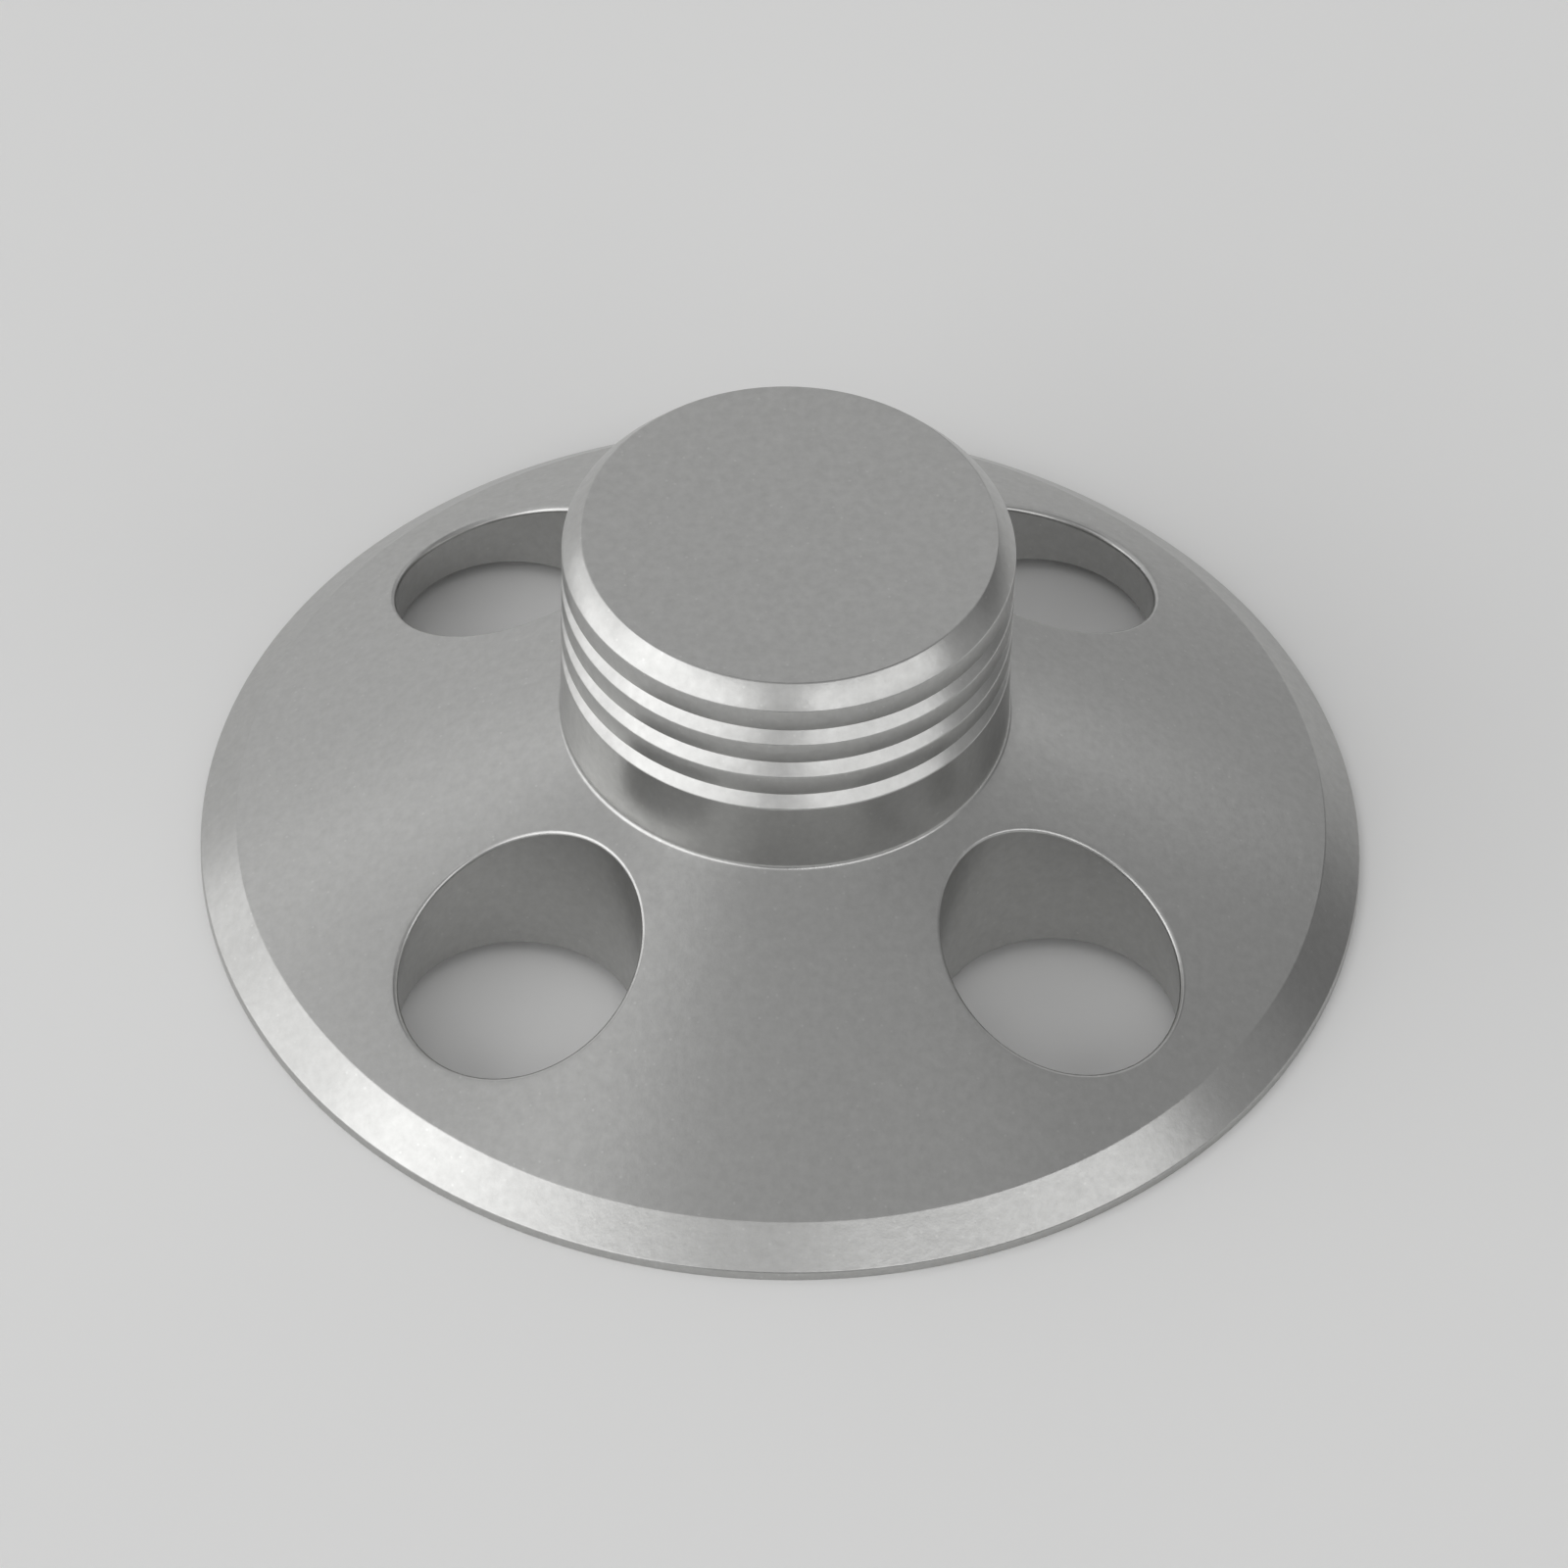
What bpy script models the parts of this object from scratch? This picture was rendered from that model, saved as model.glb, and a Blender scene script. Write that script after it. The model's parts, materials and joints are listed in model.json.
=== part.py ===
"""Record weight: one turned aluminium piece, a low cone with a round grip knob on top.

The weight is turned about +Z and stands on z = 0 with its axis through the origin. Four upright holes are
drilled through the cone, and a blind bore in the underside takes the turntable's spindle.
Lengths are in metres.
"""

import math

import bmesh
import bpy
from mathutils import Matrix

MM = 0.001

# Cone and its rim, from the underside up
flange_radius = 40.0 * MM
rim_height = 0.7 * MM
rim_chamfer_width = 2.5 * MM
rim_chamfer_height = 2.4 * MM
cone_rise = 10.8 * MM
cone_swell = 0.3 * MM

# Knob
knob_radius = 15.3 * MM
knob_height = 16.6 * MM
knob_foot_fillet = 0.4 * MM
knob_chamfer_width = 1.25 * MM
knob_chamfer_height = 1.5 * MM

# V-grooves round the knob, counted from the chamfer down
groove_count = 3
groove_width = 1.5 * MM
groove_depth = 0.75 * MM
groove_pitch = 3.1 * MM
first_land_height = 1.7 * MM

# Upright holes through the cone, each as wide as the cone is between the metal left beside it
hole_count = 4
hole_knob_margin = 2.3 * MM
hole_rim_margin = 3.5 * MM
first_hole_angle = math.radians(45.0)
hole_edge_radius = 0.35 * MM

# Underside: the ring that the weight stands on, a shallow recess inside it, and the blind bore for the spindle
base_ring_width = 4.0 * MM
recess_depth = 1.0 * MM
bore_radius = 3.7 * MM
bore_depth = 14.0 * MM
bore_lead_in = 0.5 * MM
drill_point_angle = math.radians(118.0)

# Fineness of the round shapes
turned_steps = 96
swell_steps = 6
fillet_steps = 3
hole_steps = 48
mouth_steps = 3
cutter_overshoot = 2.0 * MM
same_point = 0.00001
sharp_angle = math.radians(20.0)

# Where the cone begins at the rim and ends at the knob
cone_outer_radius = flange_radius - rim_chamfer_width
cone_outer_z = rim_height + rim_chamfer_height
knob_foot_z = cone_outer_z + cone_rise
knob_top_z = knob_foot_z + knob_height
cone_slope = cone_rise / (cone_outer_radius - knob_radius)

# Where the holes lie, and where the recess ends
hole_inner_reach = knob_radius + hole_knob_margin
hole_outer_reach = cone_outer_radius - hole_rim_margin
hole_circle_radius = (hole_outer_reach + hole_inner_reach) / 2
hole_radius = (hole_outer_reach - hole_inner_reach) / 2
recess_radius = flange_radius - base_ring_width


def clear_scene():
    for obj in list(bpy.data.objects):
        bpy.data.objects.remove(obj, do_unlink=True)


def cone_height(radius):
    """Height of the cone's surface at this distance from the axis, swollen a little between its two ends."""
    share = (radius - knob_radius) / (cone_outer_radius - knob_radius)
    swell = 4 * cone_swell * share * (1 - share)
    return knob_foot_z - cone_slope * (radius - knob_radius) + swell


def cone_slope_at(radius):
    """Fall of the cone's surface for each metre outwards, at this distance from the axis."""
    share = (radius - knob_radius) / (cone_outer_radius - knob_radius)
    return cone_slope - 4 * cone_swell * (1 - 2 * share) / (cone_outer_radius - knob_radius)


def knob_points():
    """Knob outline from its centre down to the last groove, as (radius, z)."""
    points = [
        (0.0, knob_top_z),
        (knob_radius - knob_chamfer_width, knob_top_z),
        (knob_radius, knob_top_z - knob_chamfer_height),
    ]
    upper_edge = knob_top_z - knob_chamfer_height - first_land_height
    for index in range(groove_count):
        edge = upper_edge - index * groove_pitch
        points += [
            (knob_radius, edge),
            (knob_radius - groove_depth, edge - groove_width / 2),
            (knob_radius, edge - groove_width),
        ]
    return points


def foot_fillet_points():
    """Small concave arc between the knob's side and the cone."""
    fall = math.atan(cone_slope_at(knob_radius))
    turn = math.pi / 2 - fall
    tangent = knob_foot_fillet * math.tan(turn / 2)
    centre_radius = knob_radius + knob_foot_fillet
    centre_z = knob_foot_z + tangent
    points = []
    for step in range(fillet_steps + 1):
        angle = turn * step / fillet_steps
        points.append(
            (
                centre_radius - knob_foot_fillet * math.cos(angle),
                centre_z - knob_foot_fillet * math.sin(angle),
            )
        )
    return points


def swell_points():
    """Cone between its two ends, from the knob outwards."""
    points = []
    for step in range(1, swell_steps):
        radius = knob_radius + (cone_outer_radius - knob_radius) * step / swell_steps
        points.append((radius, cone_height(radius)))
    return points


def rim_points():
    """Cone's lower end, the chamfered rim and the ring that the weight stands on."""
    return [
        (cone_outer_radius, cone_outer_z),
        (flange_radius, rim_height),
        (flange_radius, 0.0),
        (recess_radius, 0.0),
        (recess_radius, recess_depth),
    ]


def bore_points():
    """Spindle bore from its mouth in the recess up to the tip that the drill leaves."""
    bore_end = recess_depth + bore_depth
    return [
        (bore_radius + bore_lead_in, recess_depth),
        (bore_radius, recess_depth + bore_lead_in),
        (bore_radius, bore_end),
        (0.0, bore_end + bore_radius / math.tan(drill_point_angle / 2)),
    ]


def turn_body():
    """The outline as a chain of edges in the XZ plane, turned once about Z."""
    outline = knob_points() + foot_fillet_points() + swell_points() + rim_points() + bore_points()
    mesh = bpy.data.meshes.new("record_weight")
    shape = bmesh.new()
    verts = [shape.verts.new((radius, 0.0, z)) for radius, z in outline]
    for start, end in zip(verts, verts[1:]):
        shape.edges.new((start, end))
    shape.to_mesh(mesh)
    shape.free()
    body = bpy.data.objects.new("record_weight", mesh)
    bpy.context.scene.collection.objects.link(body)

    screw = body.modifiers.new("turning", "SCREW")
    screw.axis = "Z"
    screw.angle = math.tau
    screw.steps = turned_steps
    screw.render_steps = turned_steps
    screw.use_merge_vertices = True
    screw.merge_threshold = same_point
    return body


def mouth_points(angle):
    """Rounded edge at one place round a hole's mouth, from the wall up to the cone.

    The angle is counted about the hole from the direction that leads away from the weight's axis. Each point
    is a distance from the hole's axis and a height. A rounding of even radius reaches furthest where the cone
    falls away from the hole.
    """
    lip_x = hole_circle_radius + hole_radius * math.cos(angle)
    lip_y = hole_radius * math.sin(angle)
    lip = math.hypot(lip_x, lip_y)
    tilt = -math.atan(cone_slope_at(lip) * math.cos(angle - math.atan2(lip_y, lip_x)))
    reach = hole_edge_radius / math.tan((math.pi / 2 + tilt) / 2)
    points = []
    for step in range(mouth_steps):
        turn = math.pi - (math.pi / 2 - tilt) * step / mouth_steps
        points.append(
            (
                hole_radius + hole_edge_radius * (1 + math.cos(turn)),
                cone_height(lip) - reach + hole_edge_radius * math.sin(turn),
            )
        )
    outer = hole_radius + reach * math.cos(tilt)
    axis_distance = math.hypot(
        hole_circle_radius + outer * math.cos(angle), outer * math.sin(angle)
    )
    points.append((outer, cone_height(axis_distance)))
    return points


def make_hole_cutter():
    """Drill body whose mouth flares along the cone, built at +X from rings of points about its own axis."""
    shape = bmesh.new()
    top_z = cone_height(hole_inner_reach) + cutter_overshoot
    rings = [[] for _ in range(mouth_steps + 3)]
    for step in range(hole_steps):
        angle = math.tau * (step + 0.5) / hole_steps
        mouth = mouth_points(angle)
        levels = [(hole_radius, -cutter_overshoot)] + mouth + [(mouth[-1][0], top_z)]
        for ring, (radius, z) in zip(rings, levels):
            ring.append(
                shape.verts.new((radius * math.cos(angle), radius * math.sin(angle), z))
            )
    for lower, upper in zip(rings, rings[1:]):
        for here in range(hole_steps):
            after = (here + 1) % hole_steps
            shape.faces.new((lower[here], lower[after], upper[after], upper[here]))
    shape.faces.new(list(reversed(rings[0])))
    shape.faces.new(rings[-1])
    mesh = bpy.data.meshes.new("hole_cutter")
    shape.to_mesh(mesh)
    shape.free()
    mesh.transform(Matrix.Translation((hole_circle_radius, 0.0, 0.0)))
    return mesh


def drill_holes(body):
    """One cutter for each hole, all from the same mesh, each turned to its place."""
    mesh = make_hole_cutter()
    for index in range(hole_count):
        cutter = bpy.data.objects.new(f"hole_cutter_{index + 1}", mesh)
        cutter.rotation_euler.z = first_hole_angle + math.tau * index / hole_count
        cutter.hide_render = True
        cutter.display_type = "WIRE"
        bpy.context.scene.collection.objects.link(cutter)
        drill = body.modifiers.new(f"hole_{index + 1}", "BOOLEAN")
        drill.operation = "DIFFERENCE"
        drill.solver = "EXACT"
        drill.object = cutter


def apply_modifiers(body):
    """Keeps the finished mesh in place of the outline and its modifiers, and removes the cutters."""
    bpy.context.view_layer.update()
    finished = body.evaluated_get(bpy.context.evaluated_depsgraph_get())
    mesh = bpy.data.meshes.new_from_object(finished)
    mesh.name = body.name
    cutters = [modifier.object for modifier in body.modifiers if modifier.type == "BOOLEAN"]
    body.modifiers.clear()
    body.data = mesh
    for cutter in cutters:
        bpy.data.objects.remove(cutter, do_unlink=True)


def shade_round(body):
    """Round walls look smooth, and the turned and drilled edges stay crisp."""
    body.data.shade_smooth()
    body.data.set_sharp_from_angle(angle=sharp_angle)


def blasted_aluminium():
    """Bare silver aluminium with a fine bead-blasted, satin surface."""
    material = bpy.data.materials.new("blasted_aluminium")
    material.use_nodes = True
    shader = material.node_tree.nodes["Principled BSDF"]
    shader.inputs["Base Color"].default_value = (0.50, 0.50, 0.49, 1.0)
    shader.inputs["Metallic"].default_value = 1.0
    shader.inputs["Roughness"].default_value = 0.30
    return material


def build():
    clear_scene()
    weight = turn_body()
    drill_holes(weight)
    apply_modifiers(weight)
    shade_round(weight)
    weight.data.materials.append(blasted_aluminium())


build()
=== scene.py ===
import json
import math

import bpy
from mathutils import Matrix, Vector

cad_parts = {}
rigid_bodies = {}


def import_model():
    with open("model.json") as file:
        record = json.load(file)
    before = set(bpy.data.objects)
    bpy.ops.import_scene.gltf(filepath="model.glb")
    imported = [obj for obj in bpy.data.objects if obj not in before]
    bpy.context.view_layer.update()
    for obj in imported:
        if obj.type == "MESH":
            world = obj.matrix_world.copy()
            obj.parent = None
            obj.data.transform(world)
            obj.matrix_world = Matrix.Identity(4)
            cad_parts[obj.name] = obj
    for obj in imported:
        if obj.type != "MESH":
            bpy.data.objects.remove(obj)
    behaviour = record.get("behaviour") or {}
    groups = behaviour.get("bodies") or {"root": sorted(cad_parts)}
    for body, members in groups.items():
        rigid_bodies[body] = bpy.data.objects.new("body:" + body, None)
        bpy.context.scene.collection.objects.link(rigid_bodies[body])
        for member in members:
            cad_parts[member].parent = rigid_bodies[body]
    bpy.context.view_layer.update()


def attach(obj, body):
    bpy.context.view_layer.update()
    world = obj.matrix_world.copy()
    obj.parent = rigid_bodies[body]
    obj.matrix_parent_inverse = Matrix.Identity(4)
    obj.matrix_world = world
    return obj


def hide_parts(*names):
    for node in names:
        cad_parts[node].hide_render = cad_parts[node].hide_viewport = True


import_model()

bpy.ops.object.select_all(action="DESELECT")


# how faces and rings of edges are picked out of a mesh
picking = {
    "flatEnough": 0.9,          # least vertical part of the normal of a face that looks up or down
    "closeEnough": 0.000002,    # metres between a point and the ring that it belongs to
}


def looksUp(face):
    return face.normal.z > picking["flatEnough"]


def looksDown(face):
    return face.normal.z < -picking["flatEnough"]


def pickFaces(piece, wanted):
    # leaves the piece in edit mode with only the wanted faces selected
    bpy.ops.object.mode_set(mode="EDIT")
    bpy.ops.mesh.select_mode(type="FACE")
    bpy.ops.mesh.select_all(action="DESELECT")
    bpy.ops.object.mode_set(mode="OBJECT")
    for face in piece.data.polygons:
        face.select = wanted(face)
    bpy.ops.object.mode_set(mode="EDIT")


def pickRings(piece, rings):
    # the edges that run round the axis at these (radius, height) places
    bpy.ops.object.mode_set(mode="EDIT")
    bpy.ops.mesh.select_mode(type="EDGE")
    bpy.ops.mesh.select_all(action="DESELECT")
    bpy.ops.object.mode_set(mode="OBJECT")
    near = picking["closeEnough"]
    onRing = []
    for vert in piece.data.vertices:
        radius, height = math.hypot(vert.co.x, vert.co.y), vert.co.z
        found = [n for n, (r, z) in enumerate(rings) if abs(radius - r) < near and abs(height - z) < near]
        onRing.append(found[0] if found else None)
    for edge in piece.data.edges:
        start, end = edge.vertices
        edge.select = onRing[start] is not None and onRing[start] == onRing[end]
    bpy.ops.object.mode_set(mode="EDIT")


def bevelRings(piece, rings, offset, segments):
    # rounds the edge at each of these places, and a profile of 0.5 is a round one
    pickRings(piece, rings)
    bpy.ops.mesh.bevel(offset=offset, segments=segments, profile=0.5, affect="EDGES", clamp_overlap=False)


def growCap(place, radius, z, centre=(0.0, 0.0)):
    # extrudes the selected end face to this height and scales it to this radius
    bpy.ops.mesh.extrude_region_move(TRANSFORM_OT_translate={"value": (0, 0, z - place["z"])})
    size = radius / place["radius"]
    bpy.ops.transform.resize(value=(size, size, 1), center_override=(centre[0], centre[1], z))
    place["radius"] = radius
    place["z"] = z


# the turned body, sizes in metres
weight = {
    "steps": 360,
    "rimRadius": 0.0400,
    "rimHeight": 0.0007,
    "coneOuterRadius": 0.0375,
    "coneOuterZ": 0.0031,
    "coneSwell": 0.0003,
    "coneRings": 24,
    "slopeStep": 0.00001,       # either side of the place where the cone's fall is measured
    "knobRadius": 0.0153,
    "knobFootZ": 0.0139,
    "knobTopZ": 0.0305,
    "knobTopRadius": 0.01405,
    "knobChamferZ": 0.0290,
    "grooveTops": (0.0273, 0.0242, 0.0211),
    "grooveWidth": 0.0015,
    "grooveDepth": 0.00075,
    "footFillet": 0.0004,
    "filletSteps": 6,
    "edgeBreak": 0.00008,       # the turned outside edges
    "rimBreak": 0.00012,        # the edge under the rim's chamfer
    "grooveRootBreak": 0.00004,  # the tip of the grooving tool
    "breakSteps": 4,
    "recessRadius": 0.0360,
    "recessDepth": 0.0010,
    "boreRadius": 0.0037,
    "boreDepth": 0.0140,
    "boreLeadIn": 0.0005,
    "drillPoint": 118.0,        # degrees
    "tipRadius": 0.0001,        # the drill point's last ring, which closes to a point
}


def coneHeight(radius):
    # a straight fall with a slight swell in its middle
    w = weight
    share = (radius - w["knobRadius"]) / (w["coneOuterRadius"] - w["knobRadius"])
    straight = w["knobFootZ"] + (w["coneOuterZ"] - w["knobFootZ"]) * share
    return straight + 4 * w["coneSwell"] * share * (1 - share)


def coneSlope(radius):
    # fall for each metre outwards
    step = weight["slopeStep"]
    return (coneHeight(radius - step) - coneHeight(radius + step)) / (2 * step)


def turnWeight():
    w = weight
    bpy.ops.mesh.primitive_cylinder_add(
        vertices=w["steps"],
        radius=w["rimRadius"],
        depth=w["rimHeight"],
        location=(0, 0, w["rimHeight"] / 2),
    )
    body = bpy.context.object
    body.name = "recordWeight"
    bpy.ops.object.transform_apply(location=True, rotation=True, scale=True)

    # upwards from the rim: chamfer, cone, knob with its grooves, top chamfer
    pickFaces(body, looksUp)
    place = {"radius": w["rimRadius"], "z": w["rimHeight"]}
    growCap(place, w["coneOuterRadius"], w["coneOuterZ"])
    for n in range(1, w["coneRings"] + 1):
        radius = w["coneOuterRadius"] + (w["knobRadius"] - w["coneOuterRadius"]) * n / w["coneRings"]
        growCap(place, radius, coneHeight(radius))
    for grooveTop in reversed(w["grooveTops"]):
        growCap(place, w["knobRadius"], grooveTop - w["grooveWidth"])
        growCap(place, w["knobRadius"] - w["grooveDepth"], grooveTop - w["grooveWidth"] / 2)
        growCap(place, w["knobRadius"], grooveTop)
    growCap(place, w["knobRadius"], w["knobChamferZ"])
    growCap(place, w["knobTopRadius"], w["knobTopZ"])

    # the underside: recess, lead-in, bore and the drill's point
    pickFaces(body, looksDown)
    place = {"radius": w["rimRadius"], "z": 0.0}
    boreEnd = w["recessDepth"] + w["boreDepth"]
    tipRise = (w["boreRadius"] - w["tipRadius"]) / math.tan(math.radians(w["drillPoint"] / 2))
    growCap(place, w["recessRadius"], 0.0)
    growCap(place, w["recessRadius"], w["recessDepth"])
    growCap(place, w["boreRadius"] + w["boreLeadIn"], w["recessDepth"])
    growCap(place, w["boreRadius"], w["recessDepth"] + w["boreLeadIn"])
    growCap(place, w["boreRadius"], boreEnd)
    growCap(place, w["tipRadius"], boreEnd + tipRise)
    bpy.ops.mesh.merge(type="CENTER")

    # the fillet at the knob's foot, as far along both walls as its radius asks
    fall = math.atan(coneSlope(w["knobRadius"]))
    reach = w["footFillet"] * math.tan((math.pi / 2 - fall) / 2)
    bevelRings(body, [(w["knobRadius"], w["knobFootZ"])], reach, w["filletSteps"])

    # every turned edge is broken by a hair
    outer = [
        (w["knobTopRadius"], w["knobTopZ"]),
        (w["knobRadius"], w["knobChamferZ"]),
        (w["coneOuterRadius"], w["coneOuterZ"]),
        (w["rimRadius"], 0.0),
        (w["recessRadius"], 0.0),
        (w["boreRadius"] + w["boreLeadIn"], w["recessDepth"]),
    ]
    roots = [(w["recessRadius"], w["recessDepth"])]
    for grooveTop in w["grooveTops"]:
        outer += [(w["knobRadius"], grooveTop), (w["knobRadius"], grooveTop - w["grooveWidth"])]
        roots.append((w["knobRadius"] - w["grooveDepth"], grooveTop - w["grooveWidth"] / 2))
    bevelRings(body, outer, w["edgeBreak"], w["breakSteps"])
    bevelRings(body, [(w["rimRadius"], w["rimHeight"])], w["rimBreak"], w["breakSteps"])
    bevelRings(body, roots, w["grooveRootBreak"], w["breakSteps"])
    bpy.ops.object.mode_set(mode="OBJECT")
    return body


# the four holes, sizes in metres
hole = {
    "count": 4,
    "firstAngle": 45.0,         # degrees
    "circleRadius": 0.0258,
    "radius": 0.0082,
    "steps": 144,
    "mouthRadius": 0.00035,     # the rounding of the upper edge
    "mouthRings": 8,
    "mouthRunOut": 1.4,         # steps on from the rounding's last ring to the one outside the metal
    "ringGap": 0.0010,          # between the drill's upper rings before they go to their places
    "underBreak": 0.0001,
    "past": 0.0020,             # how far the drill reaches out of the metal
}


def mouthPoint(angle, share):
    # a place on the rounding between the wall (share 0) and the cone (share 1),
    # as distance from the hole's axis and height
    h = hole
    lipX = h["circleRadius"] + h["radius"] * math.cos(angle)
    lipY = h["radius"] * math.sin(angle)
    lip = math.hypot(lipX, lipY)
    slope = -math.atan(coneSlope(lip) * math.cos(angle - math.atan2(lipY, lipX)))
    reach = h["mouthRadius"] / math.tan((math.pi / 2 + slope) / 2)
    turn = math.pi - share * (math.pi / 2 - slope)
    out = h["radius"] + h["mouthRadius"] * (1 + math.cos(turn))
    z = coneHeight(lip) - reach + h["mouthRadius"] * math.sin(turn)
    return Vector((out, z))


def makeDrill():
    # a straight drill along Z at +X whose mouth flares to meet the cone
    h = hole
    centre = (h["circleRadius"], 0.0)
    underZ = weight["recessDepth"]
    bpy.ops.mesh.primitive_cylinder_add(
        vertices=h["steps"],
        radius=h["radius"] + h["underBreak"],
        depth=underZ + h["past"],
        location=(h["circleRadius"], 0, (underZ - h["past"]) / 2),
    )
    drill = bpy.context.object
    drill.name = "holeDrill"
    bpy.ops.object.transform_apply(location=True, rotation=True, scale=True)
    pickFaces(drill, looksUp)
    place = {"radius": h["radius"] + h["underBreak"], "z": underZ}
    growCap(place, h["radius"], underZ + h["underBreak"], centre)
    topZ = coneHeight(h["circleRadius"] - h["radius"]) + h["past"]
    levels = [topZ + n * h["ringGap"] for n in range(h["mouthRings"] + 2)]
    for level in levels:
        growCap(place, h["radius"], level, centre)
    bpy.ops.object.mode_set(mode="OBJECT")

    # each upper ring goes down to its place on the rounding, and the last two lead out of the metal
    for vert in drill.data.vertices:
        if vert.co.z < levels[0] - h["ringGap"] / 2:
            continue
        ring = round((vert.co.z - levels[0]) / h["ringGap"])
        angle = math.atan2(vert.co.y, vert.co.x - h["circleRadius"])
        if ring < h["mouthRings"]:
            out, z = mouthPoint(angle, ring / h["mouthRings"])
        else:
            before = mouthPoint(angle, 1 - 1 / h["mouthRings"])
            out, z = before + (mouthPoint(angle, 1) - before) * h["mouthRunOut"]
        if ring > h["mouthRings"]:
            z = topZ
        vert.co = (h["circleRadius"] + out * math.cos(angle), out * math.sin(angle), z)
    drill.data.update()
    return drill


def drillHoles(body, drill):
    for n in range(hole["count"]):
        cutter = drill.copy()
        cutter.data = drill.data.copy()
        cutter.name = "holeDrill" + str(n + 1)
        bpy.context.scene.collection.objects.link(cutter)
        turn = math.radians(hole["firstAngle"] + 360 / hole["count"] * n)
        cutter.data.transform(Matrix.Rotation(turn, 4, "Z"))
        cut = body.modifiers.new("hole" + str(n + 1), "BOOLEAN")
        cut.operation = "DIFFERENCE"
        cut.solver = "EXACT"
        cut.object = cutter
        bpy.context.view_layer.objects.active = body
        bpy.ops.object.modifier_apply(modifier=cut.name)
        bpy.data.objects.remove(cutter, do_unlink=True)
    bpy.data.objects.remove(drill, do_unlink=True)


# the last pass over the mesh
smoothing = {
    "samePlace": 0.0000005,     # metres within which two points become one
    "roundAngle": 40.0,         # degrees up to which an edge is shaded round
}


def smoothBody(body):
    bpy.ops.object.select_all(action="DESELECT")
    body.select_set(True)
    bpy.context.view_layer.objects.active = body
    bpy.ops.object.mode_set(mode="EDIT")
    bpy.ops.mesh.select_all(action="SELECT")
    bpy.ops.mesh.remove_doubles(threshold=smoothing["samePlace"])
    bpy.ops.mesh.normals_make_consistent(inside=False)
    bpy.ops.object.mode_set(mode="OBJECT")
    bpy.ops.object.shade_smooth_by_angle(angle=math.radians(smoothing["roundAngle"]))
    soft = body.modifiers.new("wallNormals", "WEIGHTED_NORMAL")
    soft.mode = "FACE_AREA"
    soft.keep_sharp = True
    bpy.ops.object.modifier_apply(modifier=soft.name)


print("turning the weight")
recordWeight = turnWeight()
print("drilling the four holes")
drillHoles(recordWeight, makeDrill())
smoothBody(recordWeight)
print("turned body:", len(recordWeight.data.vertices), "points")


# bead-blasted aluminium, lengths in metres and counts per metre
blast = {
    "dullColour": (0.464, 0.464, 0.456),
    "brightColour": (0.542, 0.542, 0.533),  # where the beads have polished it
    "roughness": (0.28, 0.31),
    "cloudCount": 1500.0,       # soft clouds of brighter and duller metal
    "cloudDetail": 5.0,
    "cloudFineness": 0.65,
    "cloudRange": (0.25, 0.75),  # the part of the noise between the dull and the bright
    "cloudDepth": 0.0000120,    # the same clouds as shallow waves
    "speckCount": 1700.0,       # small bright flecks, at most one in each cell
    "speckShare": 0.22,
    "speckRadius": 0.00015,
    "speckColour": (0.59, 0.59, 0.58),
    "grainCount": 6500.0,       # the dimples of the beads
    "grainDetail": 1.0,
    "grainDepth": 0.0000014,
    "dentCount": 2000.0,        # single deeper dents, at most one in each cell
    "dentShare": 0.08,
    "dentRadius": 0.00008,
    "dentDepth": 0.0000040,
}

# where a Mix node of colours has its sockets
mixFirst, mixSecond, mixResult = 6, 7, 2


def scatterSpots(nodes, join, where, kind):
    # 0 in the middle of each chosen speck or dent and 1 all round it
    cells = nodes.new("ShaderNodeTexVoronoi")
    cells.inputs["Scale"].default_value = blast[kind + "Count"]
    join(where.outputs["Object"], cells.inputs["Vector"])
    bowl = nodes.new("ShaderNodeMapRange")
    bowl.interpolation_type = "SMOOTHSTEP"
    bowl.inputs["From Max"].default_value = blast[kind + "Radius"] * blast[kind + "Count"]
    join(cells.outputs["Distance"], bowl.inputs["Value"])
    chance = nodes.new("ShaderNodeSeparateColor")
    join(cells.outputs["Color"], chance.inputs["Color"])
    leftOut = nodes.new("ShaderNodeMath")
    leftOut.operation = "GREATER_THAN"
    leftOut.inputs[1].default_value = blast[kind + "Share"]
    join(chance.outputs["Red"], leftOut.inputs[0])
    spots = nodes.new("ShaderNodeMath")
    spots.operation = "MAXIMUM"
    join(bowl.outputs["Result"], spots.inputs[0])
    join(leftOut.outputs["Value"], spots.inputs[1])
    return spots.outputs["Value"]


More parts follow.
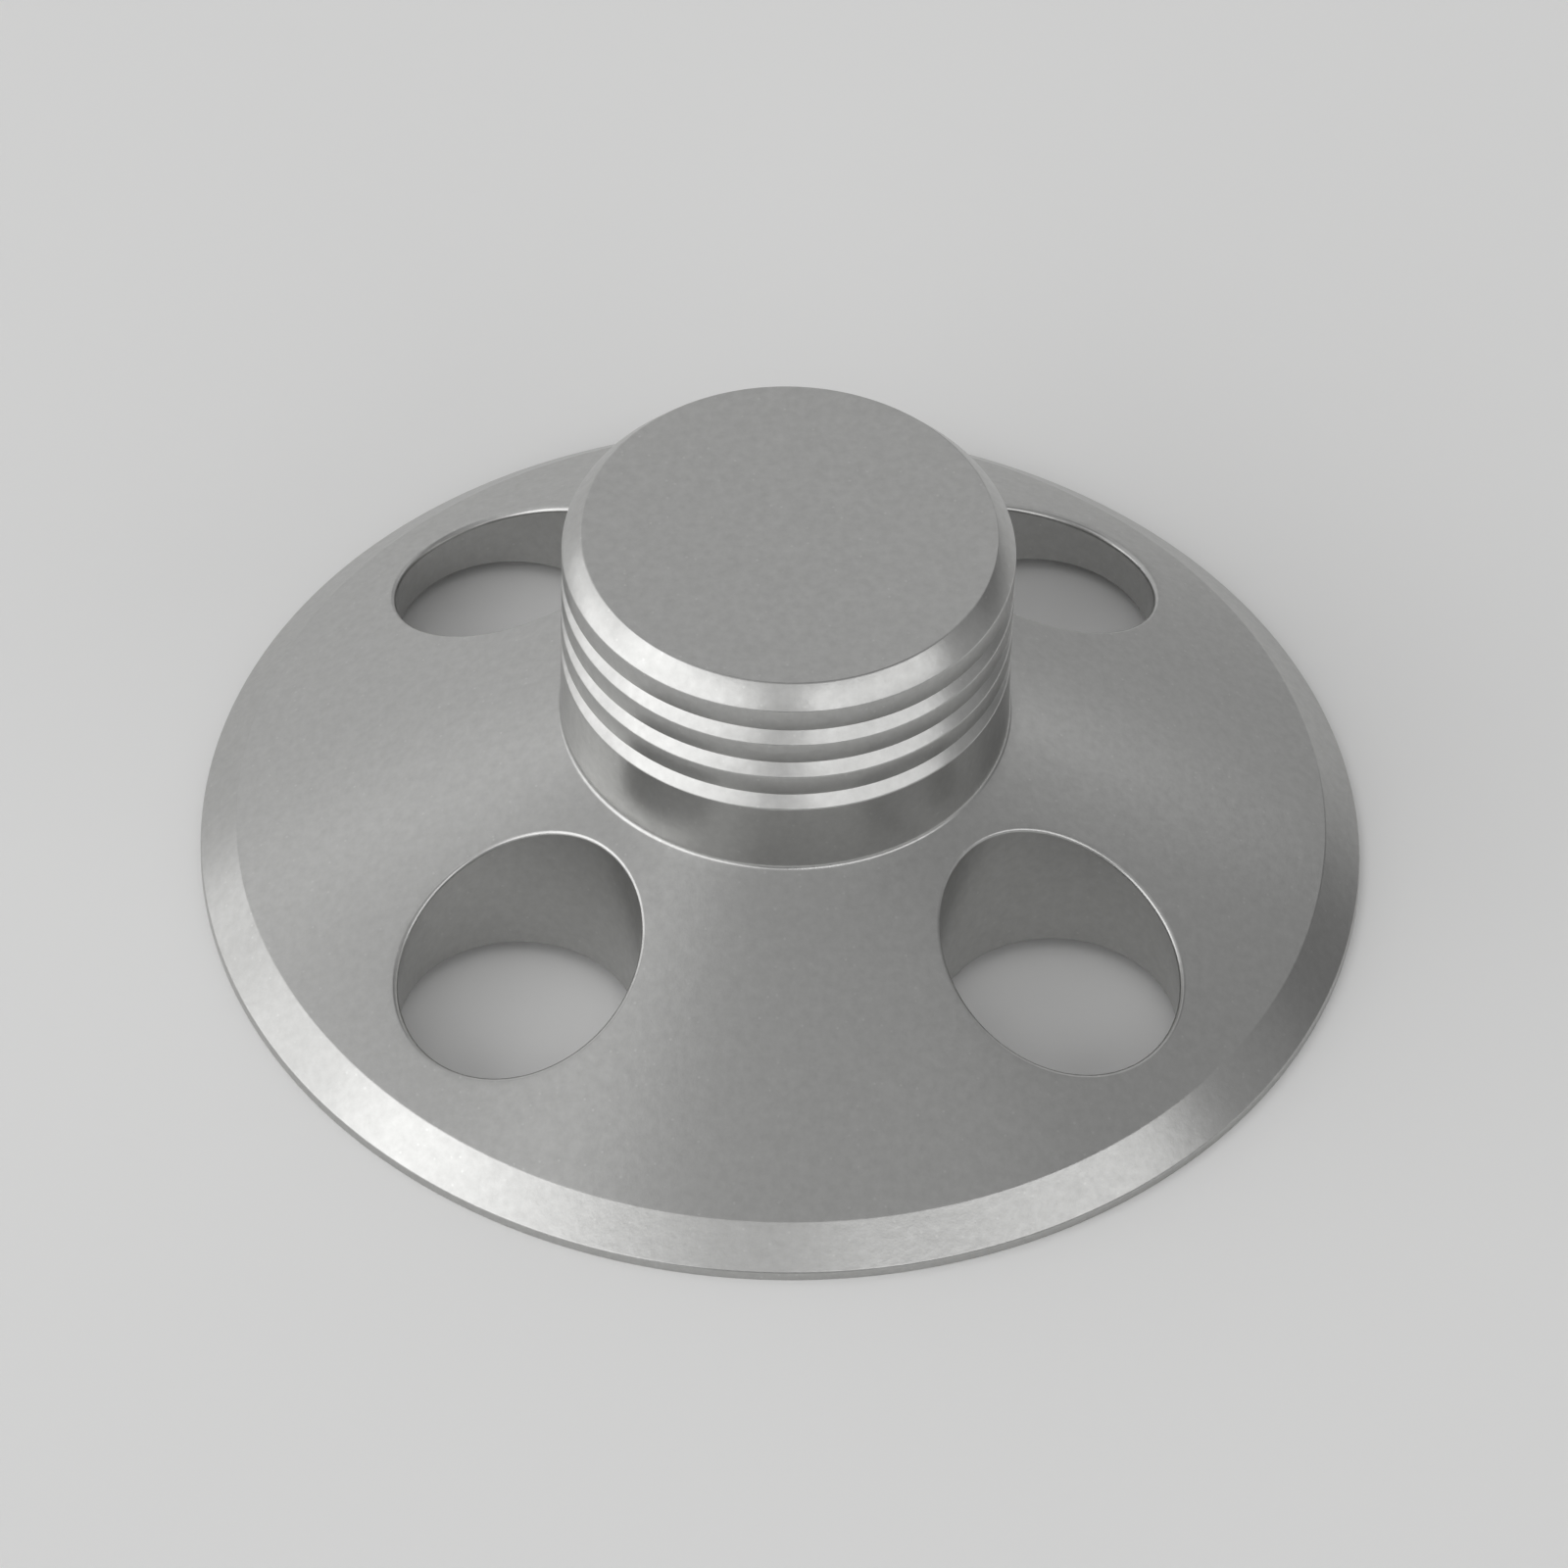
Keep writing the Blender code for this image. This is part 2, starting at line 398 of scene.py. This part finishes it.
def blastedAluminium():
    material = bpy.data.materials.new("blastedAluminium")
    material.use_nodes = True
    nodes, join = material.node_tree.nodes, material.node_tree.links.new
    shader = nodes["Principled BSDF"]
    shader.inputs["Metallic"].default_value = 1.0
    where = nodes.new("ShaderNodeTexCoord")

    # clouds change the colour and the polish together
    noise = nodes.new("ShaderNodeTexNoise")
    noise.inputs["Scale"].default_value = blast["cloudCount"]
    noise.inputs["Detail"].default_value = blast["cloudDetail"]
    noise.inputs["Roughness"].default_value = blast["cloudFineness"]
    join(where.outputs["Object"], noise.inputs["Vector"])
    clouds = nodes.new("ShaderNodeMapRange")
    clouds.inputs["From Min"].default_value = blast["cloudRange"][0]
    clouds.inputs["From Max"].default_value = blast["cloudRange"][1]
    join(noise.outputs["Fac"], clouds.inputs["Value"])
    colour = nodes.new("ShaderNodeMix")
    colour.data_type = "RGBA"
    colour.inputs[mixFirst].default_value = (*blast["dullColour"], 1)
    colour.inputs[mixSecond].default_value = (*blast["brightColour"], 1)
    join(clouds.outputs["Result"], colour.inputs["Factor"])
    polish = nodes.new("ShaderNodeMapRange")
    polish.inputs["To Min"].default_value = blast["roughness"][1]
    polish.inputs["To Max"].default_value = blast["roughness"][0]
    join(clouds.outputs["Result"], polish.inputs["Value"])
    join(polish.outputs["Result"], shader.inputs["Roughness"])

    # bright flecks
    flecked = nodes.new("ShaderNodeMix")
    flecked.data_type = "RGBA"
    flecked.inputs[mixFirst].default_value = (*blast["speckColour"], 1)
    join(colour.outputs[mixResult], flecked.inputs[mixSecond])
    join(scatterSpots(nodes, join, where, "speck"), flecked.inputs["Factor"])
    join(flecked.outputs[mixResult], shader.inputs["Base Color"])

    # shallow waves, where the clouds are
    waves = nodes.new("ShaderNodeBump")
    waves.inputs["Distance"].default_value = blast["cloudDepth"]
    join(noise.outputs["Fac"], waves.inputs["Height"])

    # the even grain of the beads
    grain = nodes.new("ShaderNodeTexNoise")
    grain.inputs["Scale"].default_value = blast["grainCount"]
    grain.inputs["Detail"].default_value = blast["grainDetail"]
    join(where.outputs["Object"], grain.inputs["Vector"])
    dimples = nodes.new("ShaderNodeBump")
    dimples.inputs["Distance"].default_value = blast["grainDepth"]
    join(grain.outputs["Fac"], dimples.inputs["Height"])
    join(waves.outputs["Normal"], dimples.inputs["Normal"])

    # single dents
    dents = nodes.new("ShaderNodeBump")
    dents.inputs["Distance"].default_value = blast["dentDepth"]
    join(scatterSpots(nodes, join, where, "dent"), dents.inputs["Height"])
    join(dimples.outputs["Normal"], dents.inputs["Normal"])
    join(dents.outputs["Normal"], shader.inputs["Normal"])
    return material


recordWeight.data.materials.clear()
recordWeight.data.materials.append(blastedAluminium())
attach(recordWeight, "root")
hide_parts("record_weight")
print("the blasted finish is on")


# floor and light
studio = {
    "floorColour": (0.88, 0.88, 0.875),
    "floorRoughness": 0.9,
    "floorShine": 0.2,
    "floorRadius": 6.0,
    "floorSteps": 96,
    "airColour": (0.17, 0.17, 0.17),
    "lampDistance": 2.0,
    # name, azimuth and elevation in degrees, width and height in metres, power in watts
    "lamps": (
        ("leftBox", 206, 27, 3.85, 1.4, 18.04),
        ("leftInnerBox", 214, 28, 1.9, 0.85, 3.21),
        ("lowLeftBox", 185, 8, 3.35, 0.42, 6.02),
        ("rightBox", 312, 30, 2.3, 0.85, 8.08),
        ("frontBox", 267, 38, 1.45, 0.85, 2.28),
        ("backBox", 100, 25, 5.7, 1.9, 8.86),
        ("backLeftBox", 120, 18, 2.3, 1.2, 2.08),
        ("highBackBox", 90, 48, 3.4, 1.05, 1.74),
        ("highLeftBox", 170, 52, 2.3, 1.85, 3.44),
        ("upperLeftBox", 150, 60, 3.4, 1.45, 2.25),
        ("highRightBox", 30, 45, 2.3, 1.45, 2.17),
        ("lowRightBox", 350, 12, 1.45, 0.6, 0.66),
        ("overheadBox", 270, 75, 2.3, 1.45, 3.37),
    ),
}


def makeFloor():
    bpy.ops.mesh.primitive_circle_add(
        vertices=studio["floorSteps"], radius=studio["floorRadius"], fill_type="NGON", location=(0, 0, 0)
    )
    floor = bpy.context.object
    floor.name = "paleFloor"
    material = bpy.data.materials.new("paleFloor")
    material.use_nodes = True
    shader = material.node_tree.nodes["Principled BSDF"]
    shader.inputs["Base Color"].default_value = (*studio["floorColour"], 1)
    shader.inputs["Roughness"].default_value = studio["floorRoughness"]
    shader.inputs["Specular IOR Level"].default_value = studio["floorShine"]
    floor.data.materials.append(material)


def makeLights():
    world = bpy.data.worlds.new("studioAir")
    world.use_nodes = True
    world.node_tree.nodes["Background"].inputs["Color"].default_value = (*studio["airColour"], 1)
    bpy.context.scene.world = world
    for name, azimuth, elevation, width, height, power in studio["lamps"]:
        a, e = math.radians(azimuth), math.radians(elevation)
        away = Vector((math.cos(a) * math.cos(e), math.sin(a) * math.cos(e), math.sin(e)))
        bpy.ops.object.light_add(type="AREA", location=away * studio["lampDistance"])
        light = bpy.context.object
        light.name = name
        light.rotation_euler = away.to_track_quat("Z", "Y").to_euler()
        light.data.shape = "RECTANGLE"
        light.data.size = width
        light.data.size_y = height
        light.data.energy = power


makeFloor()
makeLights()
print("floor and light are in place")


# the photograph's camera: distances in metres, angles in degrees
view = {
    "lens": 272.35,             # millimetres, as the sensor
    "sensor": 36.0,
    "clipStart": 0.01,
    "distance": 0.819325,
    "acrossShift": -0.000248,
    "upShift": -0.004139,
    "azimuth": -2.739,
    "elevation": 46.458,
    "roll": -1.667,
}


def makeCamera():
    e, r = math.radians(view["elevation"]), math.radians(view["roll"])
    across, up = Vector((1, 0, 0)), Vector((0, math.sin(e), math.cos(e)))
    ahead = Vector((0, math.cos(e), -math.sin(e)))
    camAcross = across * math.cos(r) - up * math.sin(r)
    camUp = across * math.sin(r) + up * math.cos(r)
    spot = -(camAcross * view["acrossShift"] + camUp * view["upShift"] + ahead * view["distance"])
    axes = Matrix((camAcross, camUp, -ahead)).transposed().to_4x4()
    turned = Matrix.Rotation(math.radians(view["azimuth"]), 4, "Z") @ Matrix.Translation(spot) @ axes
    bpy.ops.object.camera_add()
    camera = bpy.context.object
    camera.name = "photoCamera"
    camera.matrix_world = turned
    camera.data.sensor_width = view["sensor"]
    camera.data.lens = view["lens"]
    camera.data.clip_start = view["clipStart"]
    bpy.context.scene.camera = camera


makeCamera()
bpy.context.scene.view_settings.view_transform = "Standard"
print("the camera is set")
